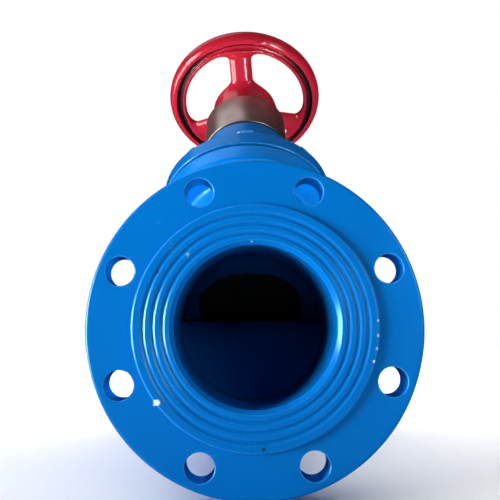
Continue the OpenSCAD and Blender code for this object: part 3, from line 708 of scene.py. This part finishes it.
def enamel(name, rgb, worn, marks=(), rubbed=None, bore=None, **constants):
    """Sprayed enamel over sand-cast iron. Inside the bore radius the colour is darkened deeper in, as painted
    shade.
    """
    material, tree, shader, place = start(name, Coat_Roughness=0.05, Coat_IOR=1.5, **constants)
    # painted shade: the hollow of the wheel is drawn near black where shade falls in it
    hollow_shade = add(tree, "ShaderNodeAttribute", {"attribute_name": "hollow_shade"}).outputs["Fac"]
    layers = [(hollow_shade, shade(rgb, 0.07))]
    if bore:
        radius, half = bore
        across = add(tree, "ShaderNodeVectorMath", {"operation": "MULTIPLY"}, _0=place, _1=(1, 0, 1))
        away = add(tree, "ShaderNodeVectorMath", {"operation": "LENGTH"}, _0=across)
        inside = add(tree, "ShaderNodeMath", {"operation": "LESS_THAN"}, _0=away.outputs["Value"], _1=radius)
        along = add(tree, "ShaderNodeSeparateXYZ", Vector=place)
        middle = add(tree, "ShaderNodeMath", {"operation": "SUBTRACT"}, _0=along.outputs["Y"], _1=half)
        off = add(tree, "ShaderNodeMath", {"operation": "ABSOLUTE"}, _0=middle)
        # painted shade: the colour darkens between 12 and 50 mm behind the faces, deeper inside the bore
        deep = add(tree, "ShaderNodeMapRange", Value=off, From_Min=half - 0.012, From_Max=half - 0.05)
        bore_shade = add(tree, "ShaderNodeMath", {"operation": "MULTIPLY"}, _0=inside, _1=deep)
        layers.append((bore_shade, shade(rgb, 0.4)))
    # paint pulls thin over tight edges and shows a paler line there
    edge = add(tree, "ShaderNodeAttribute", {"attribute_name": "edge_wear"})
    speckle = add(tree, "ShaderNodeTexNoise", Vector=place, Scale=per(2.2), Detail=3.0)
    ragged = add(tree, "ShaderNodeMath", {"operation": "MULTIPLY"}, _0=edge.outputs["Fac"], _1=speckle)
    layers.append((add(tree, "ShaderNodeMapRange", Value=ragged, From_Min=0.12, From_Max=0.5), worn))
    if rubbed:
        # handling has rubbed the face dull in one quarter
        centre, reach = rubbed
        away = add(tree, "ShaderNodeVectorMath", {"operation": "DISTANCE"}, _0=place, _1=centre)
        near = add(tree, "ShaderNodeMapRange", Value=away.outputs["Value"],
                   From_Min=reach, From_Max=reach * 0.3)
        grain = add(tree, "ShaderNodeTexNoise", Vector=place, Scale=per(5), Detail=6.0, Roughness=0.75)
        spots = add(tree, "ShaderNodeMapRange", Value=grain, From_Min=0.6, From_Max=0.85)
        dulled = add(tree, "ShaderNodeMath", {"operation": "MULTIPLY"}, _0=near, _1=spots)
        layers.append((dulled, linear("#7DB4DC")))
    chip_dirt_highlight_mask = None
    for centre, reach, code in marks:
        # a chip, a spot of dirt or a painted highlight, each with a ragged border
        wobble = add(tree, "ShaderNodeTexNoise", Vector=place, Scale=per(2.4), Detail=3.0)
        away = add(tree, "ShaderNodeVectorMath", {"operation": "DISTANCE"}, _0=place, _1=centre)
        ratio = add(tree, "ShaderNodeMath", {"operation": "MULTIPLY_ADD"}, _0=wobble, _1=-1.6 * reach,
                    _2=away.outputs["Value"])
        mask = add(tree, "ShaderNodeMapRange", Value=ratio, From_Min=0.25 * reach, From_Max=0.0)
        layers.append((mask, linear(code)))
        chip_dirt_highlight_mask = mask if chip_dirt_highlight_mask is None else add(tree, "ShaderNodeMath", {"operation": "MAXIMUM"},
                                                   _0=chip_dirt_highlight_mask, _1=mask)
    # the film is thicker in some places, which shifts its tone every few centimetres
    film = add(tree, "ShaderNodeTexNoise", Vector=place, Scale=per(55), Detail=2.0)
    paint = add(tree, "ShaderNodeMix", {"data_type": "RGBA"},
                _0=film, _6=shade(rgb, 0.9), _7=shade(rgb, 1.06))
    for amount, tone in layers:
        paint = add(tree, "ShaderNodeMix", {"data_type": "RGBA"}, _0=amount, _6=paint.outputs[2], _7=tone)
    tree.links.new(paint.outputs[2], shader.inputs["Base Color"])
    gloss = add(tree, "ShaderNodeTexNoise", Vector=place, Scale=per(18), Detail=4.0)
    rough = add(tree, "ShaderNodeMapRange", Value=gloss, To_Min=0.18, To_Max=0.28)
    for amount, more in ((hollow_shade, 0.5), (chip_dirt_highlight_mask, 0.3)):
        if amount:
            rough = add(tree, "ShaderNodeMath", {"operation": "MULTIPLY_ADD"}, _0=amount, _1=more, _2=rough)
    tree.links.new(rough.outputs[0], shader.inputs["Roughness"])
    # sand-cast swell of about 9 mm under the paint, then orange peel of 1.4 mm in it
    swell = add(tree, "ShaderNodeTexNoise", Vector=place, Scale=per(9), Detail=2.0)
    wavy = add(tree, "ShaderNodeBump", Strength=0.35, Distance=0.0006, Height=swell)
    peel = add(tree, "ShaderNodeTexNoise", Vector=place, Scale=per(1.4), Detail=1.0)
    fine = add(tree, "ShaderNodeBump", Strength=0.35, Distance=0.00006, Height=peel, Normal=wavy)
    tree.links.new(fine.outputs["Normal"], shader.inputs["Normal"])
    tree.links.new(wavy.outputs["Normal"], shader.inputs["Coat Normal"])
    return material


def turned_metal(name, light, dark, roughness, line, stain):
    """A turned metal: fine rings along the stem axis, with slow stains across them."""
    material, tree, shader, place = start(name, Metallic=1.0)
    # the height along the stem gives the lathe's feed lines, drawn a little coarse so that they show
    height = add(tree, "ShaderNodeVectorMath", {"operation": "DOT_PRODUCT"}, _0=place, _1=tuple(STEM))
    tall = add(tree, "ShaderNodeCombineXYZ", Z=height.outputs["Value"])
    lines = add(tree, "ShaderNodeTexNoise", Vector=tall, Scale=per(line), Detail=2.0)
    cloud = add(tree, "ShaderNodeTexNoise", Vector=place, Scale=per(22), Detail=4.0)
    patch = add(tree, "ShaderNodeMapRange", Value=cloud, From_Min=0.35, From_Max=0.7, To_Max=stain)
    tone = add(tree, "ShaderNodeMix", {"data_type": "RGBA"}, _0=lines, _6=shade(light, 0.92), _7=light)
    dull = add(tree, "ShaderNodeMix", {"data_type": "RGBA"}, _0=patch, _6=tone.outputs[2], _7=dark)
    tree.links.new(dull.outputs[2], shader.inputs["Base Color"])
    rough = add(tree, "ShaderNodeMapRange", Value=cloud, To_Min=roughness * 0.75, To_Max=roughness * 1.3)
    tree.links.new(rough.outputs["Result"], shader.inputs["Roughness"])
    bump = add(tree, "ShaderNodeBump", Strength=0.25, Distance=0.00004, Height=lines)
    tree.links.new(bump.outputs["Normal"], shader.inputs["Normal"])
    return material


def grained(name, rgb, other, size, roughness, bump, **constants):
    """A moulded, pressed or rough cast surface whose grain has one main size in millimetres."""
    material, tree, shader, place = start(name, **constants)
    grain = add(tree, "ShaderNodeTexNoise", Vector=place, Scale=per(size), Detail=4.0)
    slow = add(tree, "ShaderNodeTexNoise", Vector=place, Scale=per(size * 12), Detail=2.0)
    both = add(tree, "ShaderNodeMath", {"operation": "MULTIPLY"}, _0=grain, _1=slow)
    fade = add(tree, "ShaderNodeMapRange", Value=both, From_Min=0.12, From_Max=0.4)
    tone = add(tree, "ShaderNodeMix", {"data_type": "RGBA"}, _0=fade, _6=rgb, _7=other)
    tree.links.new(tone.outputs[2], shader.inputs["Base Color"])
    rough = add(tree, "ShaderNodeMapRange", Value=slow, To_Min=roughness * 0.85, To_Max=roughness * 1.15)
    tree.links.new(rough.outputs["Result"], shader.inputs["Roughness"])
    relief = add(tree, "ShaderNodeBump", Strength=0.4, Distance=bump / 1000, Height=grain)
    tree.links.new(relief.outputs["Normal"], shader.inputs["Normal"])
    return material


def on_face(radius, degrees, height=0.0):
    """A point on the inlet flange, in metres."""
    a = math.radians(degrees)
    return (radius * math.cos(a) / 1000, height / 1000, radius * math.sin(a) / 1000)


# the finish that each material slot of the record gets
SLOT_FINISHES = {"blue_paint": "blue_enamel_sprayed", "red_paint": "red_enamel_brushed",
                 "sleeve_steel": "sleeve_steel_turned", "zinc_plate": "steel_zinc_plated",
                 "stainless": "stainless_turned", "brass": "brass_turned", "cast_plug": "iron_cast_black",
                 "rubber": "rubber_moulded", "gasket_fibre": "fibre_pressed",
                 "white_plastic": "plastic_white_moulded", "clear_window": "polycarbonate_clear",
                 "red_plastic": "plastic_red_moulded", "blue_plastic": "plastic_blue_moulded"}
# clean and stained tone, roughness, spacing of the feed lines in millimetres, strength of the stains
TURNED = {"steel_zinc_plated": ("#B9BDC2", "#8F8A7C", 0.32, 0.5, 0.5),
          "stainless_turned": ("#B4B2AE", "#8E8B86", 0.22, 0.3, 0.3),
          "brass_turned": ("#C9A25A", "#8A6A35", 0.28, 0.4, 0.5)}
# two tones, size of the grain in millimetres, roughness, depth of the grain in millimetres
GRAINED = {"iron_cast_black": ("#2B2D30", "#3B3630", 1.2, 0.6, 0.25),
           "rubber_moulded": ("#161719", "#222326", 0.8, 0.7, 0.05),
           "fibre_pressed": ("#3A3C3E", "#55585A", 0.5, 0.85, 0.06),
           "plastic_white_moulded": ("#E6E6E0", "#DCDCD4", 0.6, 0.5, 0.01),
           "plastic_red_moulded": ("#B5121B", "#A30F18", 0.7, 0.35, 0.015),
           "plastic_blue_moulded": ("#1548A8", "#113C90", 0.7, 0.35, 0.015),
           "ink_black": ("#101012", "#18181A", 0.5, 0.6, 0.0),
           "polycarbonate_clear": ("#F2F6F6", "#E4ECEC", 1.5, 0.08, 0.003)}


def finish(name):
    """The material of that name, made once."""
    found = bpy.data.materials.get(name)
    if found:
        return found
    if name in TURNED or name in GRAINED:
        first, second, *rest = TURNED.get(name) or GRAINED[name]
        clear = {"Transmission_Weight": 1.0, "IOR": 1.58} if name == "polycarbonate_clear" else {}
        make = turned_metal if name in TURNED else grained
        return make(name, linear(first), linear(second), *rest, **clear)
    tints, sizes = bpy.context.scene.valve_colours, bpy.context.scene.valve_sizes
    # sprayed alkyd enamel: an even strong blue with a soft gloss and cyan edges
    blue_edge = linear("#3C9AEA")
    blue_gloss = {"Specular_IOR_Level": 0.6, "Specular_Tint": linear("#8CE6FF"), "Coat_Weight": 0.08}
    if name == "blue_enamel_sprayed":
        marks = [(on_face(75.3, 216.6, 0.6), 0.0028, "#E4EEF2"),
                 (on_face(68.3, 150.7, 0.8), 0.0010, "#1C2B3A"),
                 (on_face(72.4, 273.0), 0.0012, "#12355E"), (on_face(51.6, 92.0, 0.8), 0.0007, "#7FB8E8"),
                 (on_face(98.0, 248.0, 3.0), 0.0009, "#0A3A78"), (on_face(60.5, 133.0), 0.0008, "#9FB8CC")]
        # painted highlight: pale dashes along the right edge of the raised face, where light catches the step
        marks += [(on_face(74.6, a, 0.4), 0.0010, "#CBE6F2") for a in (2, -5, -11, -17)]
        return enamel(name, tuple(tints.blue), blue_edge, marks, (on_face(70, 133), 0.026),
                      (sizes.bore_r + sizes.belly, sizes.total / 2), **blue_gloss)
    if name == "blue_enamel_bonnet":
        # painted shade: the bonnet gets a darker copy of the same enamel
        # painted highlights: a few pale specks on the collar
        painted_specks = [(tuple((CROSSING + STEM * u + ACROSS * a + DOWNHILL * b) / 1000), size, "#A9D3F0")
                 for u, a, b, size in ((207, -8, -41.7, 0.0016), (200, -33, -26.8, 0.0012),
                                       (204, 21, -36.9, 0.0009))]
        return enamel(name, shade(tuple(tints.blue), 0.66), blue_edge, painted_specks, **blue_gloss)
    if name == "red_enamel_brushed":
        # thick glossy enamel on a cast wheel: deep red with hard window-like highlights
        return enamel(name, tuple(tints.red), linear("#D8485A"), Specular_IOR_Level=0.25, Coat_Weight=0.7)
    if name == "sleeve_steel_turned":
        # bare turned steel gone warm and brownish: satin, with fine rings
        return turned_metal(name, tuple(tints.sleeve) + (1.0,), linear("#8E7D78"), 0.34, 0.35, 0.4)
    if name == "floor_painted_pale":
        # pale matt studio paint with a trace of roller texture
        rgb = tuple(tints.floor) + (1.0,)
        return grained(name, rgb, shade(rgb, 0.985), 3.0, 0.75, 0.02)
    raise RuntimeError(f"no finish named {name}")


# ---------------------------------------------------------------- operators

class VALVE_OT_casting(bpy.types.Operator):
    """Builds the body casting: both pipe flanges, the pipe and branch, and the seat web inside"""
    bl_idname = "valve.casting"
    bl_label = "Body casting"

    def execute(self, context):
        s = Millimetres(context)
        piece("body_pipe_and_branch", [casting_outside(s)], BODY, "blue_paint", "valve_body", recalc=False)
        piece("body_passages", [casting_inside(s)], BODY, "blue_paint", recalc=False)
        for name, outlet in (("inlet_flange", False), ("outlet_flange", True)):
            piece(name, flange_parts(s, outlet), BODY, "blue_paint")
        return {"FINISHED"}


class VALVE_OT_bonnet(bpy.types.Operator):
    """Builds the bonnet with its flange, neck and collar"""
    bl_idname = "valve.bonnet"
    bl_label = "Bonnet"

    def execute(self, context):
        parts = [lathe(bonnet_outline(Millimetres(context)), on_stem, 216)]
        piece("bonnet_casting", parts, BODY, "blue_paint", "bonnet", look="blue_enamel_bonnet")
        return {"FINISHED"}


class VALVE_OT_bonnet_bolts(bpy.types.Operator):
    """Builds the bonnet bolts with their washers"""
    bl_idname = "valve.bonnet_bolts"
    bl_label = "Bonnet bolts"

    def execute(self, context):
        s = Millimetres(context)
        washer = lathe(rounded([(4.0, 0), (10, 0, 0.4), (10, 2, 0.5), (4.0, 2)]), upright, 48)
        head = hex_solid(16, 6.3)
        shank, shank_faces = thread(5.0, s.bonnet_top - s.cover_seam + 11)
        shank[:, 2] *= -1
        for i in range(8):
            turn = i * math.pi / 4
            parts = [(at_stem(points, radius=s.cover_bolts_r, angle=turn, height=s.bonnet_top + up), faces)
                     for points, faces, up in ((*washer, 0.1), (*head, 2.1), (shank, shank_faces, 0.1))]
            piece(f"bolt_{i + 1}", parts, BODY, "blue_paint", f"bonnet_bolt_{i + 1}")
        return {"FINISHED"}


class VALVE_OT_sleeve(bpy.types.Operator):
    """Builds the indicator sleeve and the figures on the drum behind its window"""
    bl_idname = "valve.sleeve"
    bl_label = "Indicator sleeve"

    def execute(self, context):
        s = Millimetres(context)
        piece("sleeve", sleeve_parts(s), BODY, "sleeve_steel", "indicator_sleeve")
        writing = bpy.data.curves.new("figures", "FONT")
        writing.body, writing.size, writing.align_x, writing.align_y = "0 0 0", 0.0085, "CENTER", "CENTER"
        writing.resolution_u = 6
        holder = bpy.data.objects.new("figures_outline", writing)
        context.scene.collection.objects.link(holder)
        context.view_layer.update()
        flat = bpy.data.meshes.new_from_object(holder.evaluated_get(context.evaluated_depsgraph_get()))
        # the figures are wrapped round the drum, just clear of its surface
        drum_r = s.sleeve_r - s.sleeve_wall - 4 + 0.08
        for v in flat.vertices:
            a, h = math.pi / 2 + v.co.x * 1000 / drum_r, s.sleeve_foot + s.window_u + v.co.y * 1000
            v.co = Vector(on_stem([drum_r * math.cos(a)], [drum_r * math.sin(a)], [h])[0] / 1000)
        bpy.data.objects.remove(holder)
        piece("drum_figures", flat, BODY, "rubber", look="ink_black")
        return {"FINISHED"}


class VALVE_OT_handwheel(bpy.types.Operator):
    """Builds the handwheel"""
    bl_idname = "valve.handwheel"
    bl_label = "Handwheel"

    def execute(self, context):
        s = Millimetres(context)
        wheel = piece("handwheel_casting", [handwheel_skin(s)], WHEEL, "red_paint", "handwheel",
                      recalc=False).data
        p = np.empty(len(wheel.vertices) * 3)
        wheel.vertices.foreach_get("co", p)
        r, u, a, b = stem_place(p.reshape(-1, 3) * 1000)
        low = u - s.wheel_plane
        # painted shade darkens the hollow, but not beside the spoke that stands at the top
        hollow_shade = np.clip((4.6 - np.abs(r - s.hollow_r)) / 2, 0, 1)
        hollow_shade *= np.clip((low + 9.2) / 1.8, 0, 1) * (low < -1)
        hollow_shade *= np.clip((np.degrees(np.arctan2(np.abs(a), -b)) - 28) / 25, 0, 1)
        wheel.attributes.new("hollow_shade", "FLOAT", "POINT").data.foreach_set("value", hollow_shade.astype(np.float32))
        return {"FINISHED"}


class VALVE_OT_wheel_fasteners(bpy.types.Operator):
    """Builds the washer and nut that hold the handwheel, and the end of the stem nut"""
    bl_idname = "valve.wheel_fasteners"
    bl_label = "Wheel nut"

    def execute(self, context):
        s = Millimetres(context)
        top = s.hub_top
        washer = lathe(rounded([(11.0, 0.1), (19, 0.1, 0.5), (19, 3.1, 0.7), (11.0, 3.1)]),
                       on_stem_from(top), 96)
        piece("wheel_washer_turned", [washer], WHEEL, "zinc_plate", "wheel_washer")
        points, faces = hex_solid(30, 13, both=True, bore=10.6, per_side=12)
        nut = at_stem(points, height=top + 3.2)
        piece("wheel_nut_chamfered", [(nut, faces)], WHEEL, "zinc_plate", "wheel_nut")
        rod, faces = thread(11.0, 25.2, pitch=1.5, depth=0.7, segments=64)
        # the barrel under the wheel is hollow, because the stem rises into it
        foot, step, bore_end, bore = s.collar_top + 8, top - 6.1, top - 13.5, 9.3
        barrel = lathe(rounded([(0.01, bore_end), (bore, bore_end), (bore, foot), (15, foot, 1),
                                (15, step, 1), (10.6, step)]), on_stem, 64)
        rod = at_stem(rod, height=top - 6)
        piece("stem_nut_threaded", [(rod, faces), barrel], WHEEL, "brass", "stem_nut")
        return {"FINISHED"}


class VALVE_OT_test_points(bpy.types.Operator):
    """Builds the two test points and their ribbed caps"""
    bl_idname = "valve.test_points"
    bl_label = "Test points"

    def execute(self, context):
        s = Millimetres(context)
        lie_down = np.array([[0, 0, -1], [0, 1, 0], [1, 0, 0]])
        neck = lathe(rounded([(4.6, 7.5), (4.6, 12, 0.5), (0.01, 12)]), upright, 40)
        for end, y, plastic in (("inlet", s.test_y, "red_plastic"),
                                ("outlet", s.total - s.test_y, "blue_plastic")):
            parts = [(p @ lie_down + (s.test_boss_x + 0.1, y, 0), f)
                     for p, f in (hex_solid(17, 8, both=True, bore=2.0), neck)]
            piece(f"{end}_test_fitting", parts, BODY, "brass", f"{end}_test_point")
            cap = ribbed_cap(s.test_boss_x + 8.2, y, 8, 20)
            piece(f"{end}_cap_ribbed", [cap], BODY, plastic, f"{end}_test_cap")
        return {"FINISHED"}


class VALVE_OT_insides(bpy.types.Operator):
    """Gives each node of the frame the finish of its slot"""
    bl_idname = "valve.insides"
    bl_label = "Inner parts"

    def execute(self, context):
        for part in frame["record"]["subparts"]:
            for place in frame["nodes"][part["node"]].material_slots:
                place.material = finish(SLOT_FINISHES[part["material_slot"]])
        return {"FINISHED"}


def around(aim, azimuth, elevation, far):
    """A place seen from aim: azimuth 0 is in front, 90 to the left."""
    a, e = math.radians(azimuth), math.radians(elevation)
    return Vector(aim) + far * Vector((-math.sin(a) * math.cos(e), -math.cos(a) * math.cos(e), math.sin(e)))


class VALVE_OT_stage(bpy.types.Operator):
    """Makes the camera, the pale floor and the soft studio light"""
    bl_idname = "valve.stage"
    bl_label = "Stage"

    def execute(self, context):
        scene = context.scene
        camera = bpy.data.objects.new("camera", bpy.data.cameras.new("camera"))
        scene.collection.objects.link(camera)
        camera.location = (-0.01162, -0.42378, 0.00191)
        camera.rotation_euler = Euler([math.radians(a) for a in (97.573, 0.671, -1.085)])
        camera.data.lens, camera.data.sensor_width = 49.92, 36
        camera.data.shift_x, camera.data.shift_y = 0.0003, -0.0382
        camera.data.clip_start = 0.01
        scene.camera = camera

        mesh = bpy.data.meshes.new("floor")
        reach, low, n = 2.6, -0.1045, 48
        points = [(reach * math.cos(a), reach * math.sin(a), low) for a in turn_angles(n)]
        mesh.from_pydata(points, [], [list(range(n))])
        floor = bpy.data.objects.new("floor", mesh)
        scene.collection.objects.link(floor)
        mesh.materials.append(finish("floor_painted_pale"))
        # the enamel mirrors neither the floor nor the lamps over it, which would wash it out
        floor.visible_glossy = False

        # each lamp: name, place, what it aims at, width and height, watts, spread in degrees
        front, middle, wheel = (0.0, 0.05, -0.06), (0.0, 0.2, 0.2), (0.0, 0.33, 0.31)
        under = (0.0, 0.0, -0.1)
        lamps = [("window_left", around(front, 70, 1, 1.0), front, (0.5, 0.7), 2.5, 40),
                 ("fill_right", around(front, -40, 14, 1.2), front, (0.5, 0.6), 0.28, 40),
                 ("softbox_top", around(middle, 118, 62, 1.2), middle, (0.6, 1.0), 1.4, 180),
                 ("floor_near", (0.0, 0.85, 1.5), (0.0, 0.62, -0.17), (1.6, 0.8), 7.0, 90),
                 ("floor_far", (0.0, 1.9, 1.5), (0.0, 1.9, -0.1), (2.4, 1.6), 40.0, 120),
                 ("strip_right", (0.2, -0.05, 0.0), wheel, (0.06, 0.3), 0.14, 60)]
        # the rest of the floor is lit from beyond the valve, so that it is pale all round
        lamps += [(f"floor_{turn}", around(under, turn, 38, 2.4), around(under, turn, 0, 1.9),
                   (2.4, 1.6), 26.0, 84) for turn in (0, 90, -90)]
        # three panes low on the left show as patches in the wheel's gloss
        lamps += [(f"pane_{i + 2}", (-0.52 + i * 0.07, 0.13 - i * 0.15, 0.03), (-0.05, 0.33, 0.32),
                   (0.14, 0.36), 0.16, 60) for i in (-1, 0, 1)]
        for name, place, aim, size, watts, spread in lamps:
            lamp = bpy.data.lights.new(name, "AREA")
            lamp.shape, lamp.size, lamp.size_y, lamp.energy = "RECTANGLE", size[0], size[1], watts
            lamp.spread = math.radians(spread)
            obj = bpy.data.objects.new(name, lamp)
            scene.collection.objects.link(obj)
            obj.location = place
            obj.rotation_euler = (Vector(aim) - Vector(place)).to_track_quat("-Z", "Y").to_euler()
            obj.visible_glossy = not name.startswith("floor")

        world = bpy.data.worlds.new("studio")
        scene.world = world
        world.use_nodes = True
        tree = world.node_tree
        tree.nodes.clear()
        # a dark room with a faint ceiling lights the object, while the paper behind it is white
        sky = add(tree, "ShaderNodeTexCoord").outputs["Generated"]
        up = add(tree, "ShaderNodeSeparateXYZ", Vector=sky)
        ceiling = add(tree, "ShaderNodeMapRange", Value=up.outputs["Z"],
                      From_Min=0.3, From_Max=0.8, To_Max=0.05)
        room = add(tree, "ShaderNodeBackground", Color=(0.9, 0.95, 1.0, 1.0), Strength=ceiling)
        paper = add(tree, "ShaderNodeBackground", Color=(1.0, 1.0, 1.0, 1.0), Strength=1.0)
        rays = add(tree, "ShaderNodeLightPath")
        both = add(tree, "ShaderNodeMixShader", _0=rays.outputs["Is Camera Ray"], _1=room, _2=paper)
        add(tree, "ShaderNodeOutputWorld", Surface=both)
        scene.view_settings.view_transform = "Standard"
        return {"FINISHED"}


OPERATORS = (VALVE_OT_casting, VALVE_OT_bonnet, VALVE_OT_bonnet_bolts, VALVE_OT_sleeve, VALVE_OT_handwheel,
             VALVE_OT_wheel_fasteners, VALVE_OT_test_points, VALVE_OT_insides, VALVE_OT_stage)


class VALVE_PT_panel(bpy.types.Panel):
    """Lists the steps that build the valve, with its sizes and colours"""
    bl_label = "Balancing valve"
    bl_space_type = "VIEW_3D"
    bl_region_type = "UI"
    bl_category = "Valve"

    def draw(self, context):
        for kind in OPERATORS:
            self.layout.operator(kind.bl_idname)
        for group in (context.scene.valve_colours, context.scene.valve_sizes):
            column = self.layout.column()
            for key in group.__annotations__:
                column.prop(group, key)


CLASSES = (ValveSizes, ValveColours) + OPERATORS + (VALVE_PT_panel,)


def register():
    for kind in CLASSES:
        bpy.utils.register_class(kind)
    bpy.types.Scene.valve_sizes = bpy.props.PointerProperty(type=ValveSizes)
    bpy.types.Scene.valve_colours = bpy.props.PointerProperty(type=ValveColours)


def unregister():
    del bpy.types.Scene.valve_colours
    del bpy.types.Scene.valve_sizes
    for kind in reversed(CLASSES):
        bpy.utils.unregister_class(kind)


def main():
    register()
    for kind in OPERATORS:
        group, action = kind.bl_idname.split(".")
        getattr(getattr(bpy.ops, group), action)()


if __name__ == "__main__":
    main()
